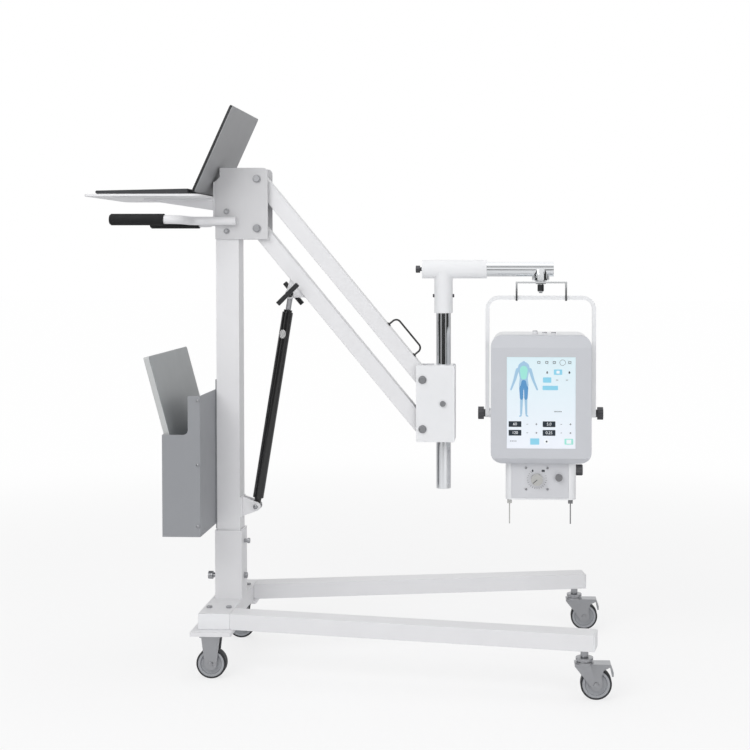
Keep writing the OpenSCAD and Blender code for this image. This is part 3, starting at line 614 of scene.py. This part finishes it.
@dataclass
class LaptopDress:
    """Keys, touch pad and display of the laptop on the tray."""

    hinge: tuple[float, float, float] = (-0.391, 0.0, 1.223)
    lean: float = 24.6
    lid_inner: float = 0.0035
    lid_thick: float = 0.008
    deck: tuple[float, float, float] = (-0.398, 0.0, 1.226)
    deck_slope: float = 4.5 / 232
    key_pitch: tuple[float, float] = (0.0185, 0.019)
    key_start: tuple[float, float] = (-0.030, -0.133)
    key_rise: float = -0.0003

    def dress(self, blocks: Repeater) -> None:
        """Args: blocks: the tree that sets the keys."""
        angle = math.radians(self.lean)
        out = (math.cos(angle), 0.0, -math.sin(angle))
        back = tuple(h + o * (self.lid_inner + self.lid_thick - 0.0012) for h, o in zip(self.hinge, out))
        lid = SkinFinish("laptop_lid_skin", shade(160, 161, 163), 0.34, 0.25, slot="laptop_silver",
                         other=shade(30, 31, 33), point=back, normal=out)
        paint({"laptop_base": LAPTOP_DARK, "laptop_lid": lid})
        top = Matrix.Translation(self.deck) @ Matrix.Rotation(-math.atan(self.deck_slope), 4, "Y")
        keys = [(self.key_start[0] - self.key_pitch[0] * row, self.key_start[1] + self.key_pitch[1] * column,
                 self.key_rise) for row in range(6) for column in range(15)]
        blocks.run("laptop_keys", points_mesh(keys), {"Block Size": (0.0162, 0.0166, 0.0014), "Turn Outwards": 0.0},
                   top, "stand", "laptop_dark")
        bm = bmesh.new()
        add_prism(bm, rounded(0.062, 0.105, 0.003, -0.185, 0.0), 0.0004, top)
        new_piece("touch_pad", bm, DARK_GLASS, "stand")
        bm = bmesh.new()
        face = Matrix.Translation(self.hinge) @ Matrix.Rotation(angle, 4, "Y") @ Matrix.Translation(
            (self.lid_inner, 0, 0.12)) @ Matrix.Rotation(-math.pi / 2, 4, "Y")
        add_prism(bm, rounded(0.198, 0.306, 0.002), 0.0004, face)
        new_piece("laptop_display", bm, DARK_GLASS, "laptop_lid")


@dataclass
class HeadDress:
    """The x-ray head: its screen picture, its collimator plate, ticks, ribs and screws."""

    centre: float = 0.487
    face: float = -0.1062
    low: float = 0.57
    width: float = 0.174
    plate_y: float = -0.073
    dial: tuple[float, float] = (-0.010, 0.487)
    dial_radius: float = 0.0235
    knob_radius: float = 0.0136
    finishes: dict[str, Finish] = field(default_factory=lambda: {
        "hang_bracket": CHROME, "bail": WHITE_PLASTIC, "tilt_knobs": DARK_STEEL, "head_front": BEZEL,
        "head_rear": HEAD_SHELL, "screen": SCREEN, "collimator": WHITE_PLASTIC, "collimator_knobs": SkinFinish(
            "control_knobs", shade(128, 128, 130), 0.36, 0.2, slot="knob_grey", other=shade(190, 190, 187),
            point=(0.52, 0, 0))})

    def sheet(self) -> Matrix:
        """Returns the place of the screen's picture: x right and y up from its lower left corner."""
        return Matrix.Translation((self.centre - self.width / 2, self.face, self.low)) @ Facing.FRONT.rotation()

    def picture(self, name: str, finish: Finish, outlines: Sequence[Sequence[tuple[float, float]]],
                depth: float = 0.00012) -> None:
        """Args: name: the piece. finish: its colour. outlines: shapes in millimetres. depth: thickness in metres."""
        bm = bmesh.new()
        for i, outline in enumerate(outlines):
            add_prism(bm, [(x * MM, y * MM) for x, y in outline], depth + i * 0.000012, self.sheet())
        new_piece(name, bm, finish, "head")

    def screen_picture(self) -> None:
        """Draws a plain body chart, buttons, number boxes and icons."""
        self.picture("screen_figure_sky", UI_SKY, [
            disc(4.6, 43, 216, 1.25), limb((43, 205), (43, 178), 15, 10), limb((43, 180), (43, 160), 10, 12),
            limb((27, 200), (20, 174), 4.2, 3.4), limb((20, 174), (11, 150), 3.2, 2.2),
            limb((59, 200), (67, 174), 4.2, 3.4), limb((67, 174), (77, 150), 3.2, 2.2),
            limb((37.5, 124), (36.5, 88), 3.6, 2.4), limb((48.5, 124), (49.5, 88), 3.6, 2.4),
            limb((36, 84), (33, 82), 2.2, 1.6), limb((50, 84), (53, 82), 2.2, 1.6)])
        self.picture("screen_figure_mint", UI_MINT, [limb((43, 200), (43, 183), 10, 8)], 0.00034)
        self.picture("screen_figure_blue", UI_BLUE, [
            limb((37, 154), (37.5, 128), 5.4, 4.2), limb((49, 154), (48.5, 128), 5.4, 4.2),
            limb((43, 168), (43, 160), 6, 8)], 0.00034)
        self.picture("screen_buttons", UI_CYAN, [
            rounded(21, 13.5, 1.5, 129.5, 194), rounded(21, 13.5, 1.5, 102, 174), rounded(39, 11, 1.5, 110, 154),
            rounded(23, 16, 1.5, 71, 18)])
        self.picture("screen_buttons_mint", UI_MINT, [rounded(22, 15, 2, 157, 18)])
        self.picture("screen_button_inset", UI_WHITE, [
            rounded(12, 10, 1, 157, 18), disc(7, 101, 18), rounded(8, 7, 1, 129.5, 194)], 0.00034)
        boxes = [rounded(32, 14.5, 1, x, y) for x in (21, 107) for y in (62, 40)]
        self.picture("screen_number_boxes", UI_DARK, boxes)
        marks = [disc(2.4, 101, 18), disc(2.2, 158, 193, 1.5), disc(1.8, 102, 193, 1.8)]
        for x in (52, 138):
            for y in (62, 40):
                marks.append(rounded(4.5, 0.9, 0.3, x, y, 2))
                marks += [rounded(5, 1.1, 0.3, x + 23, y, 2), rounded(1.1, 5, 0.3, x + 23, y, 2)]
        for x in (78, 98, 117, 156):
            marks += [rounded(7, 1, 0.3, x + 3, 221, 2), rounded(7, 1, 0.3, x + 3, 216, 2),
                      rounded(1, 6, 0.3, x, 218.5, 2), rounded(1, 6, 0.3, x + 6, 218.5, 2)]
        for x in (127, 152):
            marks.append(rounded(6, 1, 0.3, x, 174, 2))
        for i in range(4):
            marks.append(rounded(3.6, 1.6, 0.4, 122 + 5 * i, 94, 2))
            marks.append(rounded(3.2, 1.2, 0.4, 10 + 4.4 * i, 19, 2))
        self.picture("screen_marks", MARK, marks, 0.0004)
        bm = bmesh.new()
        ring_out, ring_in = disc(7.6, 141, 218), disc(6.8, 141, 218)
        place = self.sheet()
        outer = [[bm.verts.new(place @ Vector((x * MM, y * MM, d))) for x, y in ring_out] for d in (0, 0.00015)]
        inner = [[bm.verts.new(place @ Vector((x * MM, y * MM, d))) for x, y in ring_in] for d in (0, 0.00015)]
        count = len(ring_out)
        for i in range(count):
            j = (i + 1) % count
            bm.faces.new((outer[0][i], outer[0][j], outer[1][j], outer[1][i]))
            bm.faces.new((inner[0][j], inner[0][i], inner[1][i], inner[1][j]))
            bm.faces.new((outer[1][i], outer[1][j], inner[1][j], inner[1][i]))
            bm.faces.new((outer[0][j], outer[0][i], inner[0][i], inner[0][j]))
        new_piece("screen_ring", bm, MARK, "head")
        self.numbers()

    def numbers(self) -> None:
        """Writes plain numbers in the number boxes."""
        for k, (text, x, y) in enumerate((("60", 21, 62), ("5.0", 107, 62), ("120", 21, 40), ("0.25", 107, 40))):
            curve = bpy.data.curves.new("number", "FONT")
            curve.body = text
            curve.size = 0.010
            curve.align_x = "CENTER"
            curve.align_y = "CENTER"
            curve.extrude = 0.00006
            holder = bpy.data.objects.new("number", curve)
            bpy.context.scene.collection.objects.link(holder)
            bpy.context.view_layer.update()
            mesh = bpy.data.meshes.new_from_object(holder.evaluated_get(bpy.context.evaluated_depsgraph_get()))
            bpy.data.objects.remove(holder)
            mesh.transform(self.sheet() @ Matrix.Translation((x * MM, y * MM, 0.0002)))
            keep_mesh(f"screen_number_{k}", mesh, UI_WHITE, "head", False)

    def collimator_face(self, heads: Repeater, blocks: Repeater, ribbing: Repeater) -> None:
        """Args: heads: the tree for screws. blocks: the tree for ticks. ribbing: the tree for knob ribs."""
        plate = Matrix.Translation((self.centre, self.plate_y, 0)) @ Facing.FRONT.rotation()
        bm = bmesh.new()
        add_prism(bm, rounded(0.146, 0.088, 0.001, -0.0025, 0.4825), 0.001, plate)
        new_piece("control_plate", bm, PLATE_GREY, "head")
        spots = [(x, y, 0.0015) for y in (0.516, 0.4615) for x in (-0.038, 0.017)]
        heads.run("control_plate_screws", points_mesh(spots),
                  {"Head Radius": 0.003, "Head Height": 0.0018}, plate, "head", "steel", True)
        ticks = []
        for i in range(19):
            a = math.radians(130 + i * 14)
            ticks.append((self.dial_radius * math.cos(a), self.dial_radius * math.sin(a), 0.0))
        place = plate @ Matrix.Translation((*self.dial, 0.0011))
        blocks.run("aperture_ticks", points_mesh(ticks), {"Block Size": (0.004, 0.0006, 0.0003),
                                                           "Turn Outwards": 1.0}, place, "head", "knob_grey")
        bm = bmesh.new()
        knob = Matrix.Translation((self.centre + self.dial[0], -0.0893, self.dial[1])) @ Facing.FRONT.rotation()
        needle = knob @ Matrix.Rotation(math.radians(40), 4, "Z")
        add_prism(bm, rounded(0.014, 0.0016, 0.0004, -0.006, 0, 2), 0.0004, needle)
        for x in (-0.021, 0.004, 0.008):
            mark_place = plate @ Matrix.Translation((0.0, self.dial[1], 0.001))
            add_prism(bm, disc(0.0022, x, 0.0215, 1.5), 0.0003, mark_place)
        new_piece("aperture_marks", bm, MARK, "head")
        turns = [math.radians(a) for a in range(0, 360, 15)]
        ribs = [(self.knob_radius * math.cos(a), self.knob_radius * math.sin(a), 0.0) for a in turns]
        side = Matrix.Translation((0.587, 0, 0.5)) @ Facing.RIGHT.rotation()
        ribbing.run("side_knob_ribs", points_mesh(ribs), {"Block Size": (0.0016, 0.0014, 0.016),
                                                         "Turn Outwards": 1.0}, side, "head", "knob_grey")

    def connectors(self, heads: Repeater) -> None:
        """Args: heads: the tree that sets the steel caps of the sockets on the head's top."""
        heads.run("top_connector_caps", points_mesh([(0.472, -0.02, 0.8635), (0.497, -0.02, 0.8595),
                                                     (0.52, -0.02, 0.8595)]),
                  {"Head Radius": 0.0062, "Head Height": 0.002}, Matrix.Identity(4), "head", "black_plastic", True)

    def hanger(self) -> None:
        """Adds the black nut and washer of the hang bolt."""
        bm = bmesh.new()
        for z, r, h in ((0.9665, 0.0084, 0.0165), (0.9862 - 0.0016, 0.013, 0.0013)):
            add_prism(bm, disc(r, steps=24), h, Matrix.Translation((self.centre, 0, z)))
        new_piece("hang_nut", bm, BLACK_PLASTIC, "boom")

    def dress(self, heads: Repeater, blocks: Repeater, ribbing: Repeater) -> None:
        """Args: heads: the tree for round heads. blocks: the tree for ticks. ribbing: the tree for knob ribs."""
        paint(self.finishes)
        self.screen_picture()
        self.collimator_face(heads, blocks, ribbing)
        self.connectors(heads)
        self.hanger()


@dataclass
class DetectorDress:
    """The flat panel in its pocket: a pale edge frame and a grey face."""

    tilt: float = 14.9
    pocket_x0: float = -0.4575
    floor: float = 0.3585
    notch: float = 0.612
    thick: float = 0.015

    def dress(self) -> None:
        """Paints the panel's face darker than its edges."""
        angle = math.radians(self.tilt)
        z0 = self.floor + 0.0003
        x0 = self.pocket_x0 + 0.002 + 0.0003 + math.tan(angle) * (self.notch - z0)
        out = (math.cos(angle), 0.0, math.sin(angle))
        point = tuple(p + o * (self.thick - 0.001) for p, o in zip((x0, 0.0, z0), out))
        paint({"detector": SkinFinish("detector_panel", shade(154, 158, 160), 0.38, slot="detector_grey",
                                      other=shade(192, 194, 194), point=point, normal=out)})


@dataclass
class Studio:
    """Floor, backdrop, lamps and the camera at the photograph's angle."""

    eye: tuple[float, float, float] = (0.433, -3.5, 1.052)
    lens: float = 64.5
    yaw: float = 2.5
    pitch: float = -1.5
    shift: tuple[float, float] = (-0.115, -0.109)
    card_aim: tuple[float, float, float] = (0.2, 0.0, 1.0)
    card_table: tuple[tuple[str, tuple[float, float, float], float, float], ...] = (
        ("card_left", (-3.6, -1.4, 0.6), 3.6, 3.2), ("card_right", (4.1, -1.4, 0.6), 3.6, 3.2),
        ("card_low", (0.3, -4.2, 0.35), 4.6, 1.1), ("card_high", (0.4, -3.4, 3.6), 4.0, 0.9),
        ("card_top", (0.4, 1.1, 4.1), 4.0, 1.9))

    def build(self) -> None:
        """Sets up everything that isn't the machine."""
        self.floor()
        self.world()
        self.lamp("key", (-1.6, -2.8, 3.0), (-0.1, 0, 0.7), 2.6, 60)
        self.lamp("fill", (2.2, -3.2, 1.5), (0.1, 0, 0.6), 2.4, 30)
        self.lamp("top", (0.0, 0.6, 3.6), (0, 0, 0.6), 3.0, 30)
        self.cards()
        self.camera()
        bpy.context.scene.view_settings.view_transform = "Standard"

    def floor(self) -> None:
        """Adds the pale floor."""
        bm = bmesh.new()
        bmesh.ops.create_grid(bm, x_segments=1, y_segments=1, size=30)
        mesh = bpy.data.meshes.new("floor")
        bm.to_mesh(mesh)
        bm.free()
        plane = bpy.data.objects.new("floor", mesh)
        bpy.context.scene.collection.objects.link(plane)
        made = bpy.data.materials.new("pale_floor")
        made.use_nodes = True
        graph = Graph(made.node_tree)
        base = made.node_tree.nodes["Principled BSDF"]
        base.inputs["Base Color"].default_value = (0.93, 0.93, 0.94, 1)
        base.inputs["Roughness"].default_value = 0.7
        glow = graph.add("ShaderNodeEmission", {}, {"Color": (1, 1, 1, 1), "Strength": 1.0})
        ray = graph.add("ShaderNodeLightPath", output="Is Camera Ray")
        x, y, _ = graph.place()
        far = graph.add("ShaderNodeMath", {"operation": "SMOOTH_MIN"}, {0: (x * x + y * y) * 0.09, 1: 1.0, 2: 0.4})
        mixed = graph.add("ShaderNodeMixShader", {}, {
            0: ray * (0.72 + far * 0.27), 1: Wire(graph, base.outputs[0]), 2: glow})
        made.node_tree.links.new(mixed.socket, made.node_tree.nodes["Material Output"].inputs["Surface"])
        mesh.materials.append(made)

    def world(self) -> None:
        """Makes a soft surround that the camera, glass and metal see as white."""
        world = bpy.data.worlds.new("studio")
        bpy.context.scene.world = world
        world.use_nodes = True
        graph = Graph(world.node_tree)
        path = world.node_tree.nodes.new("ShaderNodeLightPath")
        seen = Wire(graph, path.outputs["Is Camera Ray"]) + Wire(graph, path.outputs["Is Transmission Ray"])
        glossy = Wire(graph, path.outputs["Is Glossy Ray"])
        strength = 0.42 + seen * 0.58 + glossy * 0.55
        back = world.node_tree.nodes["Background"]
        back.inputs["Color"].default_value = (1, 1, 1, 1)
        world.node_tree.links.new(strength.socket, back.inputs["Strength"])

    def lamp(self, name: str, spot: tuple[float, float, float], aim: tuple[float, float, float], size: float,
             power: float) -> None:
        """Args: name: the lamp. spot: its place. aim: what it points at. size: its side. power: its watts."""
        light = bpy.data.lights.new(name, "AREA")
        light.shape = "SQUARE"
        light.size = size
        light.energy = power
        holder = bpy.data.objects.new(name, light)
        bpy.context.scene.collection.objects.link(holder)
        holder.visible_glossy = name != "fill"
        holder.location = spot
        holder.rotation_euler = (Vector(aim) - Vector(spot)).to_track_quat("-Z", "Y").to_euler()

    def cards(self) -> None:
        """Adds dark cards that only reflections see, so that chrome shows its stripes."""
        made = bpy.data.materials.new("dark_card")
        made.use_nodes = True
        made.node_tree.nodes["Principled BSDF"].inputs["Base Color"].default_value = (0.01, 0.01, 0.01, 1)
        for name, spot, w, h in self.card_table:
            bm = bmesh.new()
            bmesh.ops.create_grid(bm, x_segments=1, y_segments=1, size=0.5)
            aim = (Vector(self.card_aim) - Vector(spot)).to_track_quat("Z", "Y").to_matrix().to_4x4()
            place = Matrix.Translation(spot) @ aim @ Matrix.Diagonal((w, h, 1, 1))
            bmesh.ops.transform(bm, matrix=place, verts=bm.verts)
            mesh = bpy.data.meshes.new(name)
            bm.to_mesh(mesh)
            bm.free()
            mesh.materials.append(made)
            card = bpy.data.objects.new(name, mesh)
            bpy.context.scene.collection.objects.link(card)
            card.visible_camera = False
            card.visible_diffuse = False
            card.visible_shadow = False
            card.visible_transmission = False

    def camera(self) -> None:
        """Sets the camera."""
        data = bpy.data.cameras.new("camera")
        data.lens = self.lens
        data.sensor_width = 36
        data.shift_x, data.shift_y = self.shift
        data.clip_end = 100
        holder = bpy.data.objects.new("camera", data)
        bpy.context.scene.collection.objects.link(holder)
        holder.location = self.eye
        holder.rotation_euler = (math.radians(90 + self.pitch), 0, math.radians(self.yaw))
        bpy.context.scene.camera = holder


def main() -> None:
    """Builds the machine's looks in order."""
    logging.basicConfig(level=logging.INFO, format="%(name)s: %(message)s")
    heads = head_repeater("small_heads", STEEL)
    blocks = block_repeater("small_blocks", KEY_BLACK)
    StandDress(heads).dress()
    LaptopDress().dress(blocks)
    HeadDress().dress(heads, blocks, block_repeater("knob_ribs", DARK_STEEL))
    DetectorDress().dress()
    Studio().build()


if __name__ == "__main__":
    main()
